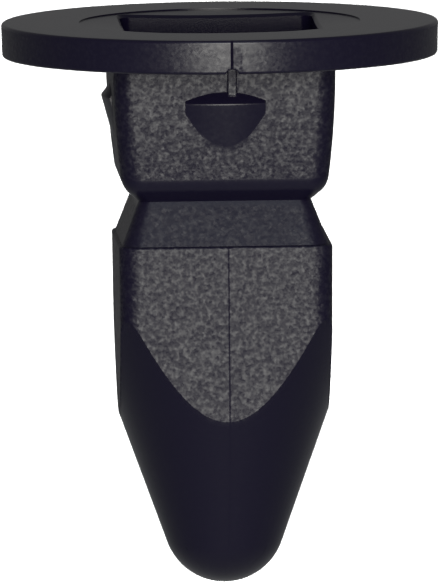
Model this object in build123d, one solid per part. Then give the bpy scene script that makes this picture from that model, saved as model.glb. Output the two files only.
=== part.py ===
from build123d import *
import os
from math import cos, radians, sin, sqrt, tan

# Expansion nut for sheet metal: one nylon moulding. The square shank is pushed into a square hole in
# a panel, the lugs snap open behind the panel, and a self-tapping screw is driven into the bore.
# The origin is on the axis, at the underside of the flange, where the panel's face comes.
# Z points up, out of the panel. Lengths are in millimetres and angles in degrees.

# Flange
FLANGE_DIAMETER = 18.05
FLANGE_THICKNESS = 1.4
FLANGE_EDGE_RADIUS = 0.13
RIM_DRAFT = 1.5

# Shallow dish in the top of the flange, just outside the corners of the pocket
DISH_MARGIN = 0.35
DISH_STEP = 0.05
DISH_SLOPE = 3.0

# Upper shank, square and slightly barrelled, with a rounded toe above the notch
SHANK_WIDTH = 9.16
SHANK_LENGTH = 5.72
BARREL_RADIUS = 37.5
TOE_RADIUS = 1.0
TOE_ANGLE = 47.0
CORNER_RADIUS = 0.82

# Neck: it widens again from the notch to a small ledge on the lower body
NECK_LENGTH = 1.8
NECK_ANGLE = 21.3
NOTCH_CORNER_RADIUS = 0.53
LEDGE_WIDTH = 0.14
LEDGE_EDGE_RADIUS = 0.12

# Lower body: a square with a little draft, cut below by a cone with a round tip. It goes through the
# panel's hole first, so each of its sides lies a little inside the upper shank's.
BODY_INSET = 0.18
BODY_DRAFT = 0.5
FLAT_LENGTH = 7.27
CONE_ANGLE = 19.8
TIP_RADIUS = 2.524

# Snap lugs: patches of a double cone about the axis, which stand proud of the shank's faces.
# A side is the angle about Z that its face looks to: -90 is the front, 180 is the left.
LUG_PROUD = 0.35
LUG_DROP = 1.6
LUG_WIDTH = 3.3
LUG_TOP_ANGLE = 38.0
LUG_FOOT_ANGLE = 15.0
LUG_EDGE_RADIUS = 0.1
LUG_SIDES = (-90, 90, 180)

# Small upright rib beside the parting line, from under the flange down to the front lug
RIB_WIDTH = 0.4
RIB_PROUD = 0.09
RIB_OFFSET = 0.28

# Square pocket in the upper shank, and the blind bore for the screw below it
SHANK_WALL = 0.58
POCKET_CORNER_RADIUS = 0.5
POCKET_DRAFT = 1.0
POCKET_FLOOR_THICKNESS = 1.75
BORE_DIAMETER = 3.9
LEAD_IN_WIDTH = 1.0
TIP_THICKNESS = 4.75

# Half widths and radii that follow from the sizes above
SHANK_HALF = SHANK_WIDTH / 2
BODY_HALF = SHANK_HALF - BODY_INSET
BODY_FOOT_HALF = BODY_HALF - FLAT_LENGTH * tan(radians(BODY_DRAFT))
NECK_FOOT_HALF = BODY_HALF - LEDGE_WIDTH
NOTCH_HALF = NECK_FOOT_HALF - NECK_LENGTH * tan(radians(NECK_ANGLE))
POCKET_HALF = SHANK_HALF - SHANK_WALL
POCKET_CORNER_REACH = (POCKET_HALF - POCKET_CORNER_RADIUS) * sqrt(2) + POCKET_CORNER_RADIUS
DISH_RADIUS = POCKET_CORNER_REACH + DISH_MARGIN
LUG_RADIUS = SHANK_HALF + LUG_PROUD
BORE_RADIUS = BORE_DIAMETER / 2

# Heights that follow. The cone passes through the middle of each flat's end and touches the tip's sphere.
NOTCH_Z = -SHANK_LENGTH
LEDGE_Z = NOTCH_Z - NECK_LENGTH
FLAT_END_Z = LEDGE_Z - FLAT_LENGTH
TIP_CENTRE_Z = FLAT_END_Z - (BODY_FOOT_HALF - TIP_RADIUS / cos(radians(CONE_ANGLE))) / tan(radians(CONE_ANGLE))
TIP_Z = TIP_CENTRE_Z - TIP_RADIUS
POCKET_FLOOR_Z = NOTCH_Z + POCKET_FLOOR_THICKNESS
BORE_END_Z = TIP_Z + TIP_THICKNESS

ON_ITS_BASE = (Align.CENTER, Align.CENTER, Align.MIN)


def turned(outline):
    """The solid that a half section, drawn with its height as Y, makes when it turns about the Z axis."""
    return revolve(Plane.XZ * outline, Axis.Z)


def square_form(outline, corner_radius):
    """A square solid whose four sides all follow one half section, with rounded upright corners.

    The mirrored section is pushed through both ways, and the two bars are intersected. The corners
    are the edges where both bars' sides meet, so they lie where |x| is equal to |y|.
    """
    half = Plane.XZ * outline
    bar = extrude(half + mirror(half, Plane.YZ), FLANGE_DIAMETER, both=True)
    form = bar & (Rot(Z=90) * bar)
    middles = [(edge, edge.center()) for edge in form.edges()]
    corners = [edge for edge, at in middles if abs(at.X) > 1e-3 and abs(abs(at.X) - abs(at.Y)) < 1e-3]
    return fillet(corners, corner_radius)


def flange():
    """Round flange with rounded edges and a shallow dish around the mouth of the pocket."""
    radius = FLANGE_DIAMETER / 2
    foot_radius = radius - FLANGE_THICKNESS * tan(radians(RIM_DRAFT))
    disc = Cone(foot_radius, radius, FLANGE_THICKNESS, align=ON_ITS_BASE)
    disc = fillet(disc.edges().filter_by(GeomType.CIRCLE), FLANGE_EDGE_RADIUS)
    rim = FLANGE_THICKNESS - DISH_STEP
    middle = rim - DISH_RADIUS * tan(radians(DISH_SLOPE))
    above = 2 * FLANGE_THICKNESS
    return disc - turned(make_face(Polyline((0, middle), (DISH_RADIUS, rim), (DISH_RADIUS, above), (0, above), close=True)))


def upper_shank():
    """Square shank from inside the flange to the notch, with barrelled sides and a rounded toe.

    Its half section is the part of the barrel's circle that lies above the sloping underside.
    """
    top = FLANGE_THICKNESS / 2
    spread = (top - NOTCH_Z) * tan(radians(TOE_ANGLE))
    above_toe = make_face(
        Polyline((0, NOTCH_Z), (NOTCH_HALF, NOTCH_Z), (NOTCH_HALF + spread, top), (0, top), close=True)
    )
    section = above_toe & Pos(SHANK_HALF - BARREL_RADIUS, 0) * Circle(BARREL_RADIUS)
    toe = section.vertices().sort_by(Axis.X)[-2:].sort_by(Axis.Y)[0]
    return square_form(fillet(toe, TOE_RADIUS), CORNER_RADIUS)


def neck():
    """Square neck that widens from the notch down to the ledge, with corners that round out."""
    notch = RectangleRounded(2 * NOTCH_HALF, 2 * NOTCH_HALF, NOTCH_CORNER_RADIUS)
    foot = RectangleRounded(2 * NECK_FOOT_HALF, 2 * NECK_FOOT_HALF, CORNER_RADIUS)
    return loft([Pos(Z=LEDGE_Z) * foot, Pos(Z=NOTCH_Z) * notch], ruled=True)


def lower_body():
    """Square body with drafted flats, cut to a cone whose end is a sphere."""
    depth = LEDGE_Z - TIP_Z
    foot_half = BODY_HALF - depth * tan(radians(BODY_DRAFT))
    square = square_form(
        make_face(Polyline((0, LEDGE_Z), (BODY_HALF, LEDGE_Z), (foot_half, TIP_Z), (0, TIP_Z), close=True)),
        CORNER_RADIUS,
    )
    square = fillet(square.edges().group_by(Axis.Z)[-1], LEDGE_EDGE_RADIUS)
    touch_radius = TIP_RADIUS * cos(radians(CONE_ANGLE))
    touch_z = TIP_CENTRE_Z - TIP_RADIUS * sin(radians(CONE_ANGLE))
    height = LEDGE_Z - touch_z
    top_radius = touch_radius + height * tan(radians(CONE_ANGLE))
    cone = Pos(Z=touch_z) * Cone(touch_radius, top_radius, height, align=ON_ITS_BASE)
    return square & (cone + Pos(Z=TIP_CENTRE_Z) * Sphere(TIP_RADIUS))


def snap_lug(side):
    """One lug: the part of a double cone about the axis that stands out of one face of the shank."""
    root = SHANK_HALF - SHANK_WALL / 2
    proud = LUG_RADIUS - root
    top = proud / tan(radians(LUG_TOP_ANGLE)) - LUG_DROP
    foot = -proud / tan(radians(LUG_FOOT_ANGLE)) - LUG_DROP
    double_cone = turned(
        make_face(Polyline((0, foot), (root, foot), (LUG_RADIUS, -LUG_DROP), (root, top), (0, top), close=True))
    )
    widest = double_cone.edges().filter_by(GeomType.CIRCLE).sort_by(SortBy.RADIUS)[-1]
    double_cone = fillet(widest, LUG_EDGE_RADIUS)
    patch = Pos(root, 0, foot) * Box(2 * proud, LUG_WIDTH, top - foot, align=(Align.MIN, Align.CENTER, Align.MIN))
    return Rot(Z=side) * (double_cone & patch)


def parting_rib():
    """Small upright rib with a rounded face, bedded in the front of the shank."""
    radius = ((RIB_WIDTH / 2) ** 2 + RIB_PROUD**2) / (2 * RIB_PROUD)
    front = SHANK_HALF + RIB_PROUD
    rod = Pos(RIB_OFFSET, radius - front, -LUG_DROP) * Cylinder(radius, LUG_DROP, align=ON_ITS_BASE)
    bed = Pos(RIB_OFFSET, -SHANK_HALF, -LUG_DROP) * Box(2 * radius, SHANK_WALL, LUG_DROP, align=ON_ITS_BASE)
    return rod & bed


def pocket():
    """The square pocket that opens in the flange and narrows a little towards its floor."""
    depth = FLANGE_THICKNESS - POCKET_FLOOR_Z
    floor_half = POCKET_HALF - depth * tan(radians(POCKET_DRAFT))
    mouth = RectangleRounded(2 * POCKET_HALF, 2 * POCKET_HALF, POCKET_CORNER_RADIUS)
    floor = RectangleRounded(2 * floor_half, 2 * floor_half, POCKET_CORNER_RADIUS)
    return loft([Pos(Z=POCKET_FLOOR_Z) * floor, Pos(Z=FLANGE_THICKNESS) * mouth], ruled=True)


def screw_bore():
    """Blind bore with a conical lead-in from the pocket's floor and a round end."""
    end_centre_z = BORE_END_Z + BORE_RADIUS
    wall = Pos(Z=end_centre_z) * Cylinder(BORE_RADIUS, POCKET_FLOOR_Z - end_centre_z, align=ON_ITS_BASE)
    lead_in = Pos(Z=POCKET_FLOOR_Z - LEAD_IN_WIDTH) * Cone(
        BORE_RADIUS, BORE_RADIUS + LEAD_IN_WIDTH, LEAD_IN_WIDTH, align=ON_ITS_BASE
    )
    return wall + Pos(Z=end_centre_z) * Sphere(BORE_RADIUS) + lead_in


def expansion_nut():
    """The whole moulding: the outer form with the pocket and the bore taken out."""
    outer = flange() + upper_shank() + neck() + lower_body() + parting_rib()
    for side in LUG_SIDES:
        outer += snap_lug(side)
    return outer - pocket() - screw_bore()


nut = expansion_nut()
nut.label = "expansion_nut"
os.makedirs("parts", exist_ok=True)
export_step(nut, "parts/expansion_nut.step")
print("size", [round(value, 3) for value in nut.bounding_box().size], "tip at", round(TIP_Z, 3))
print("volume", round(nut.volume, 2), "solids", len(nut.solids()), "valid", nut.is_valid)
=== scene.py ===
# %% [markdown]
# # A black nylon expansion nut
# The real object is one small moulding that plugs a square hole in sheet metal: a round flange, a
# square shank with snap lugs, a neck, and a square body that ends in a cone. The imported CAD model
# has that shape at its real size. Its mesh is loose triangles, which shade unevenly along small
# roundings, so this lesson draws the same surface again as one clean grid, gives it the finish of
# the mould, and photographs it.

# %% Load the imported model
import math

import bmesh
import bpy
import numpy as np
from mathutils import Matrix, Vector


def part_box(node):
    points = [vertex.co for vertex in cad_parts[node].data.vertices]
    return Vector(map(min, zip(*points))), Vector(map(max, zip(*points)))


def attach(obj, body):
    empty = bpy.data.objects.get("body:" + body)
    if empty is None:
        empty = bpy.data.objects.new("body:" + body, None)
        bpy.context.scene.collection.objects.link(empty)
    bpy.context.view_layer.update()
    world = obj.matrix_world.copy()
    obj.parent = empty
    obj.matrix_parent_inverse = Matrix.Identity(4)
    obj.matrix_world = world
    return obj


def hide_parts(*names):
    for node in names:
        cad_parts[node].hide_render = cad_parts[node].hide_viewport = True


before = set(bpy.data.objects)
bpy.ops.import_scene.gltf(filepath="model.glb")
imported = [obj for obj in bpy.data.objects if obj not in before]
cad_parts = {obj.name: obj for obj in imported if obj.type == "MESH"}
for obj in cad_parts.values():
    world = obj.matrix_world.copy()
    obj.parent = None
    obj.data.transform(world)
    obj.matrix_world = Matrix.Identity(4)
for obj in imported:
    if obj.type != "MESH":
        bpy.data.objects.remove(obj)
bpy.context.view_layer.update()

MM = 0.001
NUT = "expansion_nut"
low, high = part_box(NUT)
print("nut from", [round(v / MM, 2) for v in low], "to", [round(v / MM, 2) for v in high], "mm")


# %% [markdown]
# ## Sizes
# The CAD model is the law here, so the sizes of its parts are written once more, in millimetres and
# degrees. A slope is an angle from the upright, as a mould maker writes draft. Everything else,
# such as where the cone touches the round tip, follows from them by the same rules as in the CAD
# source.

# %% Sizes of the nut
FLANGE_RADIUS, FLANGE_THICKNESS, FLANGE_EDGE, RIM_DRAFT = 9.025, 1.4, 0.13, 1.5
DISH_MARGIN, DISH_STEP, DISH_SLOPE = 0.35, 0.05, 3.0
SHANK_HALF, BARREL, CORNER, NOTCH_Z = 4.58, 37.5, 0.82, -5.72
TOE_RADIUS, TOE_ANGLE = 1.0, 47.0
NECK_LENGTH, NECK_ANGLE, NOTCH_CORNER = 1.8, 21.3, 0.53
BODY_HALF, BODY_DRAFT, LEDGE_WIDTH, LEDGE_EDGE = 4.4, 0.5, 0.14, 0.12
FLAT_LENGTH, CONE_ANGLE, TIP_RADIUS, TIP_WALL = 7.27, 19.8, 2.524, 4.75
LUG_RADIUS, LUG_DROP, LUG_HALF, LUG_TOP, LUG_FOOT, LUG_EDGE = 4.93, 1.6, 1.65, 38.0, 15.0, 0.1
RIB_HALF, RIB_PROUD, RIB_OFFSET = 0.2, 0.09, 0.28
POCKET_HALF, POCKET_CORNER, POCKET_DRAFT, POCKET_FLOOR = 4.0, 0.5, 1.0, -3.97
BORE_RADIUS, LEAD_IN, MOUTH_EDGE = 1.95, 1.0, 0.12


def slope(angle):
    """Run for each unit of rise at this angle from the upright."""
    return math.tan(math.radians(angle))


LEDGE_Z = NOTCH_Z - NECK_LENGTH
FLAT_END_Z = LEDGE_Z - FLAT_LENGTH
BODY_FOOT = BODY_HALF - FLAT_LENGTH * slope(BODY_DRAFT)
NECK_FOOT = BODY_HALF - LEDGE_WIDTH
NOTCH_HALF = NECK_FOOT - NECK_LENGTH * slope(NECK_ANGLE)
tip_reach = TIP_RADIUS / math.cos(math.radians(CONE_ANGLE))
TIP_CENTRE_Z = FLAT_END_Z - (BODY_FOOT - tip_reach) / slope(CONE_ANGLE)
TIP_Z = TIP_CENTRE_Z - TIP_RADIUS
DISH_RADIUS = (POCKET_HALF - POCKET_CORNER) * math.sqrt(2) + POCKET_CORNER + DISH_MARGIN
print("tip at", round(TIP_Z, 3), "mm, and half width in the notch", round(NOTCH_HALF, 3), "mm")

# %% [markdown]
# ## Traces of the mould
# A mould of two halves leaves a parting line. Here it runs down the front and back of the nut, a
# hair off the middle: a fine raised line, fainter on the shank and neck than on the body, and a
# fine groove in the rim where the two halves were eased. Under the flange a small half-round
# channel leads out to the rim at the same place. They are too small to change how the nut works, so
# they belong to the surface and not to the CAD model.

# %% Sizes of the parting line
SEAM_OFFSET, SEAM_HALF, SEAM_PROUD, SEAM_FAINT = 0.08, 0.035, 0.013, 0.25
GROOVE_HALF, GROOVE_DEPTH = 0.06, 0.07
CHANNEL_OFFSET, CHANNEL_HALF, CHANNEL_DEPTH, CHANNEL_REACH = 0.1, 0.25, 0.2, 0.4

# %% [markdown]
# ## One grid round the nut
# The whole surface is one sheet of rings, threaded on the nut's axis: up the bore and the pocket
# from the inside, over the flange, and down the outside to the tip. Each ring has the same columns,
# so row and column numbers make all faces. A column belongs to one of four sides. Near the middle
# of a side columns keep fixed distances across, to hit the edges of the lug, the rib and the seam.
# Further out they share the flat between them, and the last ones bend round the corner.

# %% Columns of one side, from corner to corner
SIDES, FLAT_COLUMNS, CORNER_COLUMNS, RIB_COLUMNS = 4, 12, 9, 9
ON_SEAM = 1e-6
plain = np.array([0.2, 0.32, 0.44, 0.56, 0.7, 0.85, 1.0, 1.16, 1.32, 1.48, LUG_HALF])
line = SEAM_OFFSET + np.array([-GROOVE_HALF, -SEAM_HALF, 0, SEAM_HALF, GROOVE_HALF])
rib = RIB_OFFSET + RIB_HALF * np.linspace(-1, 1, RIB_COLUMNS)
fixed = np.unique(np.concatenate([-plain, plain, -line, line, rib]).round(3))
steps = np.arange(1, FLAT_COLUMNS + 1)
bends = np.arange(1, CORNER_COLUMNS)
held = np.zeros(len(fixed) + 2)

side_across = np.concatenate(
    [np.full(FLAT_COLUMNS + 1, -LUG_HALF), fixed, np.full(FLAT_COLUMNS + CORNER_COLUMNS, LUG_HALF)]
)
side_spread = np.concatenate([-steps[::-1], held, steps, np.full(len(bends), FLAT_COLUMNS)])
side_spread = side_spread / FLAT_COLUMNS
side_bend = np.concatenate([np.zeros(len(side_across) - len(bends)), bends])
side_bend = side_bend * math.pi / 2 / CORNER_COLUMNS
side_turn = np.concatenate([-steps[::-1], held, steps, FLAT_COLUMNS + bends])
side_turn = side_turn / (2 * FLAT_COLUMNS + CORNER_COLUMNS)
side_on_lug = np.pad(np.ones(len(fixed), bool), (FLAT_COLUMNS + 1, FLAT_COLUMNS + CORNER_COLUMNS))
print(len(side_across), "columns to a side")

# %% All columns: front, right, back and left
across, spread, bend, turn, on_lug = (
    np.tile(values, SIDES)
    for values in (side_across, side_spread, side_bend, side_turn, side_on_lug)
)
COLUMNS = len(across)
side = np.repeat(np.arange(SIDES), len(side_across))
facing = np.radians(90.0 * side - 90)
front, right, back = (side == k for k in range(3))
has_lug = on_lug & ~right
has_rib = on_lug & front & (np.abs(across - RIB_OFFSET) <= RIB_HALF)
from_seam = np.where(front, across, -across) - SEAM_OFFSET
split = on_lug & (front | back)
seam = SEAM_PROUD * (split & (np.abs(from_seam) < ON_SEAM))
faint_seam = SEAM_FAINT * seam
groove = -GROOVE_DEPTH * split * np.clip(1 - np.abs(from_seam) / GROOVE_HALF, 0, 1)
channel_share = (across - CHANNEL_OFFSET) / CHANNEL_HALF
channel = CHANNEL_DEPTH * (on_lug & front) * np.sqrt(np.clip(1 - channel_share ** 2, 0, 1))
print(COLUMNS, "columns in all,", int(has_lug.sum()), "across the lugs")


# %% [markdown]
# ## Rings
# There are two kinds of ring, a square with rounded corners and a circle, and a straight run
# between any two rings. Because they share their columns, a run from a square to a circle needs no
# special care.

# %% Ring helpers
LEAST_REACH = 1.2 * LUG_HALF


def to_xyz(sideways, out, z):
    """A point of each side: so far sideways and so far out from the axis, turned as it faces."""
    x = -sideways * np.sin(facing) + out * np.cos(facing)
    y = sideways * np.cos(facing) + out * np.sin(facing)
    return np.column_stack([x, y, np.broadcast_to(z, x.shape)])


def square_ring(half, corner, z, relief=0.0):
    """A square with rounded corners.

    On a flat the point is the half width out. Round a corner it is on a circle about the corner's
    centre, which lies at the half width less the radius. Relief moves a point further out.
    """
    flat = half - corner
    sideways = across + spread * (flat - LUG_HALF) + corner * np.sin(bend)
    return to_xyz(sideways, flat + corner * np.cos(bend) + relief, z)


def angle_at(radius):
    """The angle at which each column meets a circle.

    The fixed columns keep their distance across, so it is the arc sine of that over the radius, and
    the others share out the rest of the turn evenly. Inside the least reach the angles change no
    more.
    """
    reach = np.maximum(radius, LEAST_REACH)
    return np.arcsin(across / reach) + turn * (math.pi / 2 - 2 * np.arcsin(LUG_HALF / reach))


def round_ring(radius, z, angle=None, relief=0.0):
    """A circle about the axis, with its points at the columns' angles."""
    angle = angle_at(radius) if angle is None else angle
    return to_xyz((radius + relief) * np.sin(angle), (radius + relief) * np.cos(angle), z)


def run(first, last, count):
    """Rings at equal steps from one ring to another, without the first."""
    return [first + (last - first) * step / count for step in range(1, count + 1)]


def arc(centre, radius, start, stop, count):
    """Points (out, height) of an arc in the half section, between two angles above the level."""
    angle = np.radians(np.linspace(start, stop, count + 1))
    return np.column_stack([centre[0] + radius * np.cos(angle), centre[1] + radius * np.sin(angle)])


# %% [markdown]
# The finish of the mould differs from place to place, so each ring also carries a number for the
# depth of its grain: 1 where the steel was spark eroded coarsely, and near 0 where it was turned or
# polished.

# %% Grain of each part of the mould
GRAIN = {
    "bore": 0.0, "pocket": 0.15, "flange": 0.4, "edge": 0.4, "rim": 0.7, "shank": 1.0,
    "rib": 1.0, "lug": 0.6, "toe": 0.5, "neck": 0.8, "body": 1.0, "cone": 0.4,
}
rings, grain_rows = [], []


def add_rings(new, place):
    """Threads new rings on the axis, with the grain of this part of the mould."""
    rings.extend(new)
    grain_rows.extend([GRAIN[place]] * len(new))
    return new[-1]


# %% [markdown]
# ## Bore and pocket
# The screw cuts its thread in a blind bore with a round end. Above it, past a conical lead-in, lies
# the square pocket that makes the shank's walls thin enough to spread. Polished core pins make
# both, so that the nut slides off them. The pocket's edge is broken by a chamfer of about a tenth
# of a millimetre.

# %% Bore and pocket
DOME_ROWS, BORE_ROWS, LEAD_IN_ROWS = 10, 4, 3
FLOOR_ROWS, WALL_ROWS, MOUTH_ROWS = 3, 6, 2
bore_end = TIP_Z + TIP_WALL + BORE_RADIUS
dome = arc((0, bore_end), BORE_RADIUS, -90, 0, DOME_ROWS)
last = add_rings([round_ring(max(r, 0.0), z) for r, z in dome], "bore")
last = add_rings(run(last, round_ring(BORE_RADIUS, POCKET_FLOOR - LEAD_IN), BORE_ROWS), "bore")
last = add_rings(run(last, round_ring(BORE_RADIUS + LEAD_IN, POCKET_FLOOR), LEAD_IN_ROWS), "bore")
floor_half = POCKET_HALF - (FLANGE_THICKNESS - POCKET_FLOOR) * slope(POCKET_DRAFT)
pocket_floor = square_ring(floor_half, POCKET_CORNER, POCKET_FLOOR)
floor_edge = add_rings(run(last, pocket_floor, FLOOR_ROWS), "pocket")


def dish_height(ring):
    """The dish is a very flat cone, which rises by its slope from the middle to the step."""
    reach = np.hypot(ring[:, 0], ring[:, 1])
    return FLANGE_THICKNESS - DISH_STEP - (DISH_RADIUS - reach) / slope(90 - DISH_SLOPE)


def mouth_ring(grow):
    """A ring of the small chamfer that breaks the pocket's edge: it is as far out as it is up."""
    plan = square_ring(POCKET_HALF + grow, POCKET_CORNER + grow, 0.0)
    height = dish_height(plan) - (MOUTH_EDGE - grow)
    half = POCKET_HALF + grow - (FLANGE_THICKNESS - height) * slope(POCKET_DRAFT)
    return square_ring(half, POCKET_CORNER + grow, height)


last = add_rings(run(floor_edge, mouth_ring(0.0), WALL_ROWS), "pocket")
last = add_rings(run(last, mouth_ring(MOUTH_EDGE), MOUTH_ROWS), "edge")
print(len(rings), "rings to the pocket's mouth")

# %% [markdown]
# ## Flange
# The flange keeps the nut from going through the panel. Its top has a shallow dish round the
# pocket, its edges are rounded, and its rim leans in by its draft towards the underside. The
# parting groove crosses the rim and fades out round its edges.

# %% Flange
DISH_ROWS, TOP_ROWS, EDGE_ROWS, RIM_ROWS = 5, 4, 12, 4
dish = run(last, round_ring(DISH_RADIUS, FLANGE_THICKNESS - DISH_STEP), DISH_ROWS)
add_rings([np.column_stack([ring[:, :2], dish_height(ring)]) for ring in dish], "flange")
add_rings([round_ring(DISH_RADIUS, FLANGE_THICKNESS)], "flange")


def rim_arc(z, start, stop):
    """The rounding between the rim and the flange's top or underside, centred at this height."""
    out = FLANGE_RADIUS - (FLANGE_THICKNESS - z) * slope(RIM_DRAFT)
    centre = (out - FLANGE_EDGE / math.cos(math.radians(RIM_DRAFT)), z)
    points = arc(centre, FLANGE_EDGE, start, stop, EDGE_ROWS)
    shares = np.cos(np.radians(np.linspace(start, stop, EDGE_ROWS + 1)))
    return [round_ring(r, h, relief=groove * share) for (r, h), share in zip(points, shares)]


top_edge = rim_arc(FLANGE_THICKNESS - FLANGE_EDGE, 90, -RIM_DRAFT)
low_edge = rim_arc(FLANGE_EDGE, -RIM_DRAFT, -90)
add_rings(run(rings[-1], top_edge[0], TOP_ROWS), "flange")
add_rings(top_edge[1:-1], "edge")
below_rim = len(rings) + 1
last = add_rings(top_edge[-1:] + run(top_edge[-1], low_edge[0], RIM_ROWS) + low_edge[1:], "rim")
print(len(rings), "rings to the flange's underside")


# %% [markdown]
# ## Upper shank
# In half section the shank is an arc of a large circle, so the walls bulge a little, then a small
# rounded toe, then a slope back to the notch. The sheet metal's edge snaps in over the toe. The
# corner's rounding is that of a ball rolled down it, so on a leaning face its level width shrinks
# with the lean.

# %% Half section of the shank
TOE_ROWS = 14


def barrel(z):
    """The shank's half width: an arc of a large circle, whose crown is at the flange's underside."""
    return SHANK_HALF - BARREL + np.sqrt(BARREL ** 2 - z ** 2)


lean = math.radians(TOE_ANGLE)
up_slope = np.array([math.sin(lean), math.cos(lean)])
out_of_slope = np.array([math.cos(lean), -math.sin(lean)])
barrel_centre = np.array([SHANK_HALF - BARREL, 0.0])
offset = np.array([NOTCH_HALF, NOTCH_Z]) - TOE_RADIUS * out_of_slope - barrel_centre
along = offset @ up_slope
travel = math.sqrt(along ** 2 - offset @ offset + (BARREL - TOE_RADIUS) ** 2) - along
toe_centre = barrel_centre + offset + travel * up_slope
out, up = toe_centre - barrel_centre
toe_lean = math.degrees(math.atan2(-up, out))
toe = arc(toe_centre, TOE_RADIUS, -toe_lean, -TOE_ANGLE, TOE_ROWS)
toe_leans = np.linspace(toe_lean, TOE_ANGLE, len(toe))
print("the toe begins at", toe[0].round(3), "and ends at", toe[-1].round(3), "mm")


def corner_width(tilt):
    """Level width of a corner that a ball rounds, between two faces that both lean by this angle.

    With s the sine of the lean, the faces' normals are at the angle whose cosine is s squared. The
    width is the ball's radius times the tangent of half that angle, times the root of 1 plus s
    squared.
    """
    s = np.sin(np.radians(tilt))
    return CORNER * np.tan(np.arccos(s * s) / 2) * np.sqrt(1 + s * s)


# %% [markdown]
# The lugs snap open behind the panel. Each is a patch of a double cone about the nut's axis, steep
# above and long below, so it meets the flat face in two curves, and its crest is slightly rounded.
# The face without a lug is the right one. The rib is a low round bar beside the parting line.

# %% Lugs and rib
RIB_SQUARENESS, LUG_ROUNDS = 8, 30
cosines, sines = np.cos(np.radians([LUG_TOP, -LUG_FOOT])), np.sin(np.radians([LUG_TOP, -LUG_FOOT]))
crest = np.linalg.solve(np.column_stack([cosines, sines]), [-LUG_EDGE, -LUG_EDGE])
crest = crest + (LUG_RADIUS, -LUG_DROP)
crest_top, crest_foot = crest[1] + LUG_EDGE * sines


def lug_reach(z):
    """Radius of the lugs' double cone at a height, with its crest rounded by a small circle."""
    upper = LUG_RADIUS - (z + LUG_DROP) * slope(LUG_TOP)
    lower = LUG_RADIUS + (z + LUG_DROP) * slope(LUG_FOOT)
    rounded = crest[0] + np.sqrt(np.maximum(LUG_EDGE ** 2 - (z - crest[1]) ** 2, 0))
    return np.where(z > crest_top, upper, np.where(z < crest_foot, lower, rounded))


def shank_relief(z):
    """How far each column stands out of the shank's face.

    A lug reaches the root of its radius squared less the distance across squared. The rib is
    flat-topped with round shoulders: its height times the root of 1 less the eighth power of the
    share across. Each counts from the barrel, and never goes below it.
    """
    lug = np.sqrt(np.maximum(lug_reach(z) ** 2 - across ** 2, 0)) - barrel(z)
    share = (across - RIB_OFFSET) / RIB_HALF
    shoulder = np.sqrt(np.clip(1 - share ** RIB_SQUARENESS, 0, 1))
    bar = SHANK_HALF + RIB_PROUD * shoulder - barrel(z)
    stands = np.maximum(np.where(has_lug, lug, 0), np.where(has_rib & (z > -LUG_DROP), bar, 0))
    return np.maximum(stands, faint_seam)


def lug_meets_face(angle, sign):
    """Height where a lug's cone meets the face.

    It depends on the barrel's width at that height, so it is worked out again and again from the
    last.
    """
    z = np.full(COLUMNS, -LUG_DROP)
    for _ in range(LUG_ROUNDS):
        z = -LUG_DROP + sign * (LUG_RADIUS - np.hypot(barrel(z), across)) / slope(angle)
    return z


# %% Rings of the shank
SHANK_ROWS, UNDERSIDE_ROWS, NOTCH_ROWS = (7, 5, 6, 12, 6), 5, 3
level = np.zeros(COLUMNS)
stops = [level, lug_meets_face(LUG_TOP, 1), level + crest_top, level + crest_foot,
         lug_meets_face(LUG_FOOT, -1), level + toe[0, 1]]
heights = [level]
for upper, lower, count in zip(stops[:-1], stops[1:], SHANK_ROWS):
    heights += run(upper, lower, count)
shank = [square_ring(barrel(z), CORNER, z, shank_relief(z)) for z in heights]
shank_top = square_ring(barrel(0), CORNER, 0.0, shank_relief(level))
add_rings(run(last, shank_top, UNDERSIDE_ROWS), "rim")
last = add_rings(shank[1:], "shank")
below_lug = len(rings)
last = add_rings([square_ring(half, corner_width(tilt), z, faint_seam)
                  for (half, z), tilt in zip(toe[1:], toe_leans[1:])], "toe")
notch = square_ring(NOTCH_HALF, NOTCH_CORNER, NOTCH_Z, faint_seam)
add_rings(run(last, notch, NOTCH_ROWS), "toe")
print(len(rings), "rings to the notch")

# %% [markdown]
# ## Neck and ledge
# The neck widens again from the notch, so the panel's edge can ride over it. It ends in a small
# ledge with a rounded edge, where the lower body begins.

# %% Neck and ledge
NECK_ROWS, LEDGE_ROWS = 6, 9
neck_foot = square_ring(NECK_FOOT, CORNER, LEDGE_Z, faint_seam)
add_rings(run(notch, neck_foot, NECK_ROWS), "neck")
ledge = arc((BODY_HALF - LEDGE_EDGE, LEDGE_Z - LEDGE_EDGE), LEDGE_EDGE, 90, 0, LEDGE_ROWS)
add_rings([square_ring(half, CORNER - BODY_HALF + half, z, seam) for half, z in ledge], "body")
print(len(rings), "rings to the lower body")


# %% [markdown]
# ## Lower body, cone and tip
# The lower body is a square bar with a little draft, turned to a cone from below, as a pencil is
# sharpened. So each flat ends in a curve, lowest at its middle. The cone runs into a round tip.

# %% Where the flats end
SEARCH_BELOW, HALVINGS = 1.0, 40


def body_half(z):
    """Half width of the drafted body."""
    return BODY_HALF - (LEDGE_Z - z) * slope(BODY_DRAFT)


def cone_radius(z):
    """Radius of the cone, which passes through the middle of each flat's end."""
    return BODY_FOOT + (z - FLAT_END_Z) * slope(CONE_ANGLE)


above, below = level + LEDGE_Z, level + FLAT_END_Z - SEARCH_BELOW
for _ in range(HALVINGS):
    z = (above + below) / 2
    ring = square_ring(body_half(z), CORNER, z)
    inside = np.hypot(ring[:, 0], ring[:, 1]) < cone_radius(z)
    above, below = np.where(inside, z, above), np.where(inside, below, z)
crease_z = (above + below) / 2
print("the flats end between", crease_z.max().round(2), "and", crease_z.min().round(2), "mm")

# %% Body, cone and tip
BODY_ROWS, TIP_ROWS = 24, 20
shares = np.arange(1, BODY_ROWS + 1) / BODY_ROWS
body_top = rings[-1][:, 2]
for share in shares:
    z = body_top + (crease_z - body_top) * share
    add_rings([square_ring(body_half(z), CORNER, z, seam)], "body")

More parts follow.
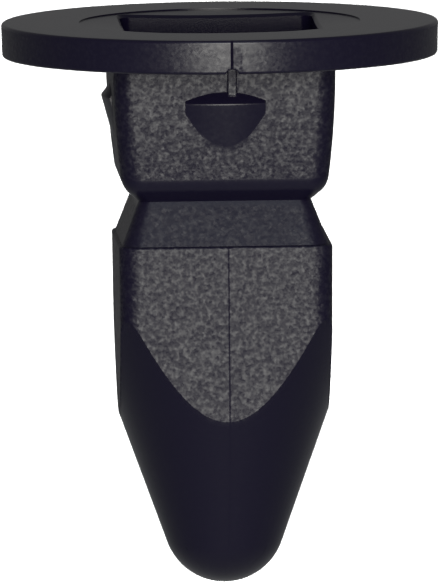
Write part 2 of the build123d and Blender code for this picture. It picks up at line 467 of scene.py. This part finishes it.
crease = square_ring(body_half(crease_z), CORNER, crease_z)
crease_angle = (np.arctan2(crease[:, 1], crease[:, 0]) - facing + math.pi) % (2 * math.pi) - math.pi
touch_z = TIP_CENTRE_Z - TIP_RADIUS * math.sin(math.radians(CONE_ANGLE))
touch_angle = angle_at(cone_radius(touch_z))
for share in shares:
    z = crease_z + (touch_z - crease_z) * share
    angle = crease_angle + (touch_angle - crease_angle) * share
    add_rings([round_ring(cone_radius(z), z, angle, seam)], "cone")
tip = arc((0, TIP_CENTRE_Z), TIP_RADIUS, -CONE_ANGLE, -90, TIP_ROWS)[1:]
for r, z in tip:
    r = max(r, 0.0)
    add_rings([round_ring(r, z, relief=seam * r / TIP_RADIUS)], "cone")
print(len(rings), "rings in all")

# %% [markdown]
# ## From rings to a mesh
# The rings are stacked into one array. The channel under the flange lifts the heights near the
# underside. Faces take their four corners from the row and column numbers, in the order that makes
# them look outwards. At the two poles a whole ring is one point, so doubles are merged. Edges that
# turn by more than the steps of the roundings stay sharp.

# %% The mesh of the nut
EDGE_MARGIN = 0.01
grid = np.array(rings)
z = grid[below_rim:below_lug, :, 2]
grid[below_rim:below_lug, :, 2] += channel * np.clip(1 - np.abs(z) / CHANNEL_REACH, 0, 1)
grain = np.repeat(np.array(grain_rows)[:, None], COLUMNS, axis=1)
top, foot = stops[1], stops[4]
on_lug_face = has_lug & (grid[:, :, 2] < top - EDGE_MARGIN) & (grid[:, :, 2] > foot + EDGE_MARGIN)
on_lug_face[:below_rim] = False
grain[on_lug_face] = GRAIN["lug"]
on_rib = has_rib & (grid[:, :, 2] > top + EDGE_MARGIN)
on_rib[:below_rim] = False
grain[on_rib] = GRAIN["rib"]

row, column = np.meshgrid(np.arange(len(rings) - 1), np.arange(COLUMNS), indexing="ij")
following = (column + 1) % COLUMNS
corners = [row * COLUMNS + column, (row + 1) * COLUMNS + column,
           (row + 1) * COLUMNS + following, row * COLUMNS + following]
faces = np.stack(corners, axis=-1).reshape(-1, 4)

mesh = bpy.data.meshes.new("nut_skin")
mesh.from_pydata((grid.reshape(-1, 3) * MM).tolist(), [], faces.tolist())
grain_values = mesh.attributes.new("grain", "FLOAT", "POINT").data
grain_values.foreach_set("value", grain.ravel().astype(np.float32))

# %% Merge, shade and measure
MERGE, SHARP_FROM = 1e-7, 14.0
welded = bmesh.new()
welded.from_mesh(mesh)
bmesh.ops.remove_doubles(welded, verts=welded.verts, dist=MERGE)
volume = welded.calc_volume(signed=True) / MM ** 3
open_edges = sum(not edge.is_manifold for edge in welded.edges)
welded.to_mesh(mesh)
welded.free()
mesh.shade_smooth()
mesh.set_sharp_from_angle(angle=math.radians(SHARP_FROM))
skin = bpy.data.objects.new("nut_skin", mesh)
bpy.context.scene.collection.objects.link(skin)
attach(skin, "root")
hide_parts(NUT)
print(len(mesh.polygons), "faces, volume", round(volume, 1), "mm3,", open_edges, "open edges")


# %% [markdown]
# ## Colours and nodes
# Colours are written as a web designer writes them, as sRGB hex values, and one function turns them
# to the linear values that the renderer works with. A second small function adds a node with its
# settings and its links, so each material below reads as a list of what it is made of.

# %% Colour and node helpers
def linear(hex_colour):
    """sRGB hex to linear RGBA: the straight part below 0.04045, the 2.4 power above it."""
    srgb = np.array([int(hex_colour[i:i + 2], 16) for i in (1, 3, 5)]) / 255
    rgb = np.where(srgb <= 0.04045, srgb / 12.92, ((srgb + 0.055) / 1.055) ** 2.4)
    return (*(float(v) for v in rgb), 1.0)


def add_node(tree, kind, links=None, values=None, **settings):
    """Adds one node: settings are its properties, values its unlinked sockets, links its inputs."""
    node = tree.nodes.new(kind)
    for name, value in settings.items():
        setattr(node, name, value)
    for socket, value in (values or {}).items():
        node.inputs[socket].default_value = value
    for socket, source in (links or {}).items():
        tree.links.new(source, node.inputs[socket])
    return node


def new_material(name):
    """An empty node material, its tree and its output node."""
    material = bpy.data.materials.new(name)
    material.use_nodes = True
    material.node_tree.nodes.clear()
    return material, material.node_tree, material.node_tree.nodes.new("ShaderNodeOutputMaterial")


# %% [markdown]
# ## Moulded black nylon
# The nut is nylon 66, coloured through with carbon black and a trace of blue, and injection
# moulded. The mould for the shank is spark eroded, which prints craters of about a tenth of a
# millimetre on the plastic, while the flange, the lugs and the cone are smoother and the cores are
# polished. Each crater leans the surface its own way, and small waves run over all of them. The
# waves' hollows shine a little less than the flat plastic, and their crests, which are rubbed when
# nuts tumble together, a little more. Where the steel is smoother this relief flattens faster than
# the shine sharpens, so it goes by the third power of the grain. To the eye that gives a broad,
# mottled shine on faces that look at the lamp, and near black on faces that look away.

# %% Nylon values
NYLON_COLOUR = "#0D0A1B"
NYLON_IOR = 1.53
SPECULAR_LEVEL = 0.24
CRATER_SIZE, CRATER_LEAN = 0.12, 0.18
WAVE_SIZE, WAVE_DEPTH = 0.2, 0.018
WAVE_DETAIL, WAVE_FADE = 1.0, 0.6
HOLLOW, CREST = 0.42, 0.72
HOLLOW_SHINE, CREST_SHINE = -0.105, 0.1
FLATTENING = 3.0
POLISHED_ROUGHNESS = 0.1
ERODED_ROUGHNESS = 0.46


# %% Nylon material
def moulded_nylon():
    """Black nylon whose normal leans another way in each crater, with a bump of fine waves over it.

    The cells' random colours, less a half, are the leans. The waves' height, between a hollow's and
    a crest's, sets what they add to the shine. All of this grows with the third power of the grain,
    and the roughness runs from the polished to the eroded steel's in proportion to the grain.
    """
    material, tree, output = new_material("black_nylon_66_moulded_spark_eroded_grain")
    place = add_node(tree, "ShaderNodeTexCoord").outputs["Object"]
    finish = add_node(tree, "ShaderNodeAttribute", attribute_name="grain").outputs["Fac"]
    cells = add_node(
        tree, "ShaderNodeTexVoronoi", {"Vector": place}, {"Scale": 1 / (CRATER_SIZE * MM)},
        feature="F1",
    ).outputs["Color"]
    lean = add_node(
        tree, "ShaderNodeVectorMath", {0: cells}, {1: (0.5, 0.5, 0.5)}, operation="SUBTRACT"
    ).outputs[0]
    coarse = add_node(
        tree, "ShaderNodeMath", {0: finish}, {1: FLATTENING}, operation="POWER"
    ).outputs[0]
    amount = add_node(
        tree, "ShaderNodeMath", {0: coarse}, {1: CRATER_LEAN}, operation="MULTIPLY"
    ).outputs[0]
    leaning = add_node(
        tree, "ShaderNodeVectorMath", {0: lean, "Scale": amount}, operation="SCALE"
    ).outputs[0]
    smooth = add_node(tree, "ShaderNodeNewGeometry").outputs["Normal"]
    leant = add_node(
        tree, "ShaderNodeVectorMath", {0: smooth, 1: leaning}, operation="ADD"
    ).outputs[0]
    facet = add_node(tree, "ShaderNodeVectorMath", {0: leant}, operation="NORMALIZE").outputs[0]
    waves = add_node(
        tree, "ShaderNodeTexNoise", {"Vector": place},
        {"Scale": 1 / (WAVE_SIZE * MM), "Detail": WAVE_DETAIL, "Roughness": WAVE_FADE},
    ).outputs["Fac"]
    depth = add_node(
        tree, "ShaderNodeMath", {0: coarse}, {1: WAVE_DEPTH * MM}, operation="MULTIPLY"
    ).outputs[0]
    relief = add_node(
        tree, "ShaderNodeBump", {"Height": waves, "Distance": depth, "Normal": facet},
        {"Strength": 1.0},
    ).outputs["Normal"]
    roughness = add_node(
        tree, "ShaderNodeMapRange", {"Value": finish},
        {"To Min": POLISHED_ROUGHNESS, "To Max": ERODED_ROUGHNESS},
    ).outputs["Result"]
    worn = add_node(
        tree, "ShaderNodeMapRange", {"Value": waves},
        {"From Min": HOLLOW, "From Max": CREST, "To Min": HOLLOW_SHINE, "To Max": CREST_SHINE},
    ).outputs["Result"]
    shine = add_node(
        tree, "ShaderNodeMath", {0: worn, 1: coarse}, {2: SPECULAR_LEVEL}, operation="MULTIPLY_ADD"
    ).outputs[0]
    shader = add_node(
        tree, "ShaderNodeBsdfPrincipled",
        {"Normal": relief, "Roughness": roughness, "Specular IOR Level": shine},
        {"Base Color": linear(NYLON_COLOUR), "IOR": NYLON_IOR},
    )
    tree.links.new(shader.outputs[0], output.inputs["Surface"])
    return material


skin.data.materials.append(moulded_nylon())
print("material", skin.data.materials[0].name)

# %% [markdown]
# ## Floor
# The photograph shows no more of the ground than white. A large sheet of matt white paper does the
# same. It lies well below the nut, because black plastic mirrors whatever is near it: a bright
# sheet close by would wash out the faces that look down.

# %% Floor
FLOOR_DROP = 120.0
FLOOR_HALF = 8000.0
FLOOR_COLOUR = "#E8E8E8"
PAPER_ROUGHNESS, PAPER_SHINE = 0.9, 0.1


def pale_floor():
    """A large square sheet, at its drop below the nut's tip."""
    square = np.array([(-1, -1, 0), (1, -1, 0), (1, 1, 0), (-1, 1, 0)])
    corners = square * FLOOR_HALF + (0, 0, -FLOOR_DROP)
    mesh = bpy.data.meshes.new("floor")
    mesh.from_pydata((corners * MM + (0, 0, low.z)).tolist(), [], [(0, 1, 2, 3)])
    floor = bpy.data.objects.new("floor", mesh)
    bpy.context.scene.collection.objects.link(floor)
    material, tree, output = new_material("matt_white_paper")
    shader = add_node(
        tree, "ShaderNodeBsdfPrincipled", None,
        {"Base Color": linear(FLOOR_COLOUR), "Roughness": PAPER_ROUGHNESS,
         "Specular IOR Level": PAPER_SHINE},
    )
    tree.links.new(shader.outputs[0], output.inputs["Surface"])
    mesh.materials.append(material)
    return floor


floor = pale_floor()

# %% [markdown]
# ## Camera
# The photograph is close to square on, a little from the left and from above, and its straight
# lines hardly converge, so the lens is long. The aim is a point on the nut's axis and the pixel it
# falls on.

# %% Camera
IMAGE_WIDTH, IMAGE_HEIGHT = 440, 582
PIXELS_PER_MM = 24.182
CAMERA_DISTANCE = 700.0
CAMERA_AZIMUTH = -2.64
CAMERA_ELEVATION = 6.131
CAMERA_ROLL = 0.545
AIM = (0.0, 0.0, -10.0)
AIM_PIXEL = (222.147, 295.232)
SENSOR = 36.0


def direction(azimuth, elevation):
    """Unit vector from the nut towards this azimuth and elevation; azimuth 0 is the front."""
    a, e = math.radians(azimuth), math.radians(elevation)
    return np.array([math.sin(a) * math.cos(e), -math.cos(a) * math.cos(e), math.sin(e)])


def turn_towards(back, roll=0.0):
    """Columns right, up and back of an object that looks along -back, rolled about that axis."""
    right = np.cross((0, 0, 1), back)
    right /= np.linalg.norm(right)
    up = np.cross(back, right)
    c, s = math.cos(math.radians(roll)), math.sin(math.radians(roll))
    return np.column_stack([c * right - s * up, s * right + c * up, back])


def place(obj, where, axes):
    """Puts a lamp or camera at a point in millimetres, with the given axes."""
    matrix = np.eye(4)
    matrix[:3, :3] = axes
    matrix[:3, 3] = np.array(where) * MM
    obj.matrix_world = Matrix(matrix.tolist())
    bpy.context.scene.collection.objects.link(obj)


view_back = direction(CAMERA_AZIMUTH, CAMERA_ELEVATION)
view_axes = turn_towards(view_back, CAMERA_ROLL)
shift = (np.array([IMAGE_WIDTH, IMAGE_HEIGHT]) / 2 - AIM_PIXEL) / PIXELS_PER_MM
target = np.array(AIM) + view_axes[:, 0] * shift[0] - view_axes[:, 1] * shift[1]
lens = bpy.data.cameras.new("camera")
lens.sensor_width = SENSOR
lens.lens = SENSOR * CAMERA_DISTANCE * PIXELS_PER_MM / IMAGE_HEIGHT
camera = bpy.data.objects.new("camera", lens)
place(camera, target + view_back * CAMERA_DISTANCE, view_axes)
bpy.context.scene.camera = camera
print("lens", round(lens.lens, 1), "mm at", CAMERA_DISTANCE, "mm")

# %% [markdown]
# ## Light
# Black plastic shows its lamps more than its colour, so each lamp has one job. A round softbox
# close in front of the nut is mirrored by the faces that look forward. A grid narrows its beam,
# which softens its edge in the rim's shine and keeps its light off the floor. A wide softbox high
# in front lights the neck and the floor. A long one lies low over the floor behind the nut, and
# turns the strip that the camera sees white. The camera sees none of them. The world adds a little
# light from everywhere else, and the flange's top mirrors it, because the camera looks along it at
# a flat angle.

# %% Places, sizes and levels of the lamps
WARM_WHITE, COOL_WHITE, NEUTRAL_WHITE = "#FFFEF5", "#E5F7FF", "#FFFFFF"
FRONT_DISTANCE, FRONT_AZIMUTH, FRONT_ELEVATION = 330.0, 1.0, 4.0
FRONT_RADII, FRONT_LEVEL, FRONT_BEAM = (125.0, 125.0), 2.0, 65.0
TOP_DISTANCE, TOP_AZIMUTH, TOP_ELEVATION = 1200.0, 0.0, 48.0
TOP_RADII, TOP_LEVEL, OPEN_BEAM = (400.0, 400.0), 1.3, 180.0
STRIP_PLACE, STRIP_TARGET, STRIP_RADII = (58.0, 1248.0, 59.0), (58.0, 1247.9, -140.0), (78.0, 620.0)
STRIP_LEVEL, STRIP_BEAM = 2.9, 90.0
WORLD_COLOUR, WORLD_STRENGTH = "#FFFFFF", 0.17


# %% Lamps
def softbox(name, where, faces, radii, level, beam, colour):
    """An oval lamp at one point that faces another.

    Its watts are its level times pi times its area, so with an open beam the level is its radiance.
    A narrowed beam keeps the watts, and is that much brighter along its middle.
    """
    light = bpy.data.lights.new(name, "AREA")
    light.shape = "ELLIPSE"
    light.size, light.size_y = 2 * radii[0] * MM, 2 * radii[1] * MM
    light.color = linear(colour)[:3]
    light.spread = math.radians(beam)
    light.energy = level * math.pi * math.pi * radii[0] * radii[1] * MM ** 2
    lamp = bpy.data.objects.new(name, light)
    lamp.visible_camera = False
    back = np.array(where) - faces
    place(lamp, where, turn_towards(back / np.linalg.norm(back)))
    print(name, round(light.energy, 3), "W")
    return lamp


front_place = AIM + FRONT_DISTANCE * direction(FRONT_AZIMUTH, FRONT_ELEVATION)
top_place = AIM + TOP_DISTANCE * direction(TOP_AZIMUTH, TOP_ELEVATION)
softbox("front_softbox", front_place, AIM, FRONT_RADII, FRONT_LEVEL, FRONT_BEAM, WARM_WHITE)
softbox("top_softbox", top_place, AIM, TOP_RADII, TOP_LEVEL, OPEN_BEAM, COOL_WHITE)
softbox(
    "background_softbox", STRIP_PLACE, STRIP_TARGET, STRIP_RADII, STRIP_LEVEL, STRIP_BEAM,
    NEUTRAL_WHITE,
)

# %% World and colour management
world = bpy.data.worlds.new("studio")
bpy.context.scene.world = world
world.use_nodes = True
background = world.node_tree.nodes["Background"]
background.inputs["Color"].default_value = linear(WORLD_COLOUR)
background.inputs["Strength"].default_value = WORLD_STRENGTH

bpy.context.scene.view_settings.view_transform = "Standard"
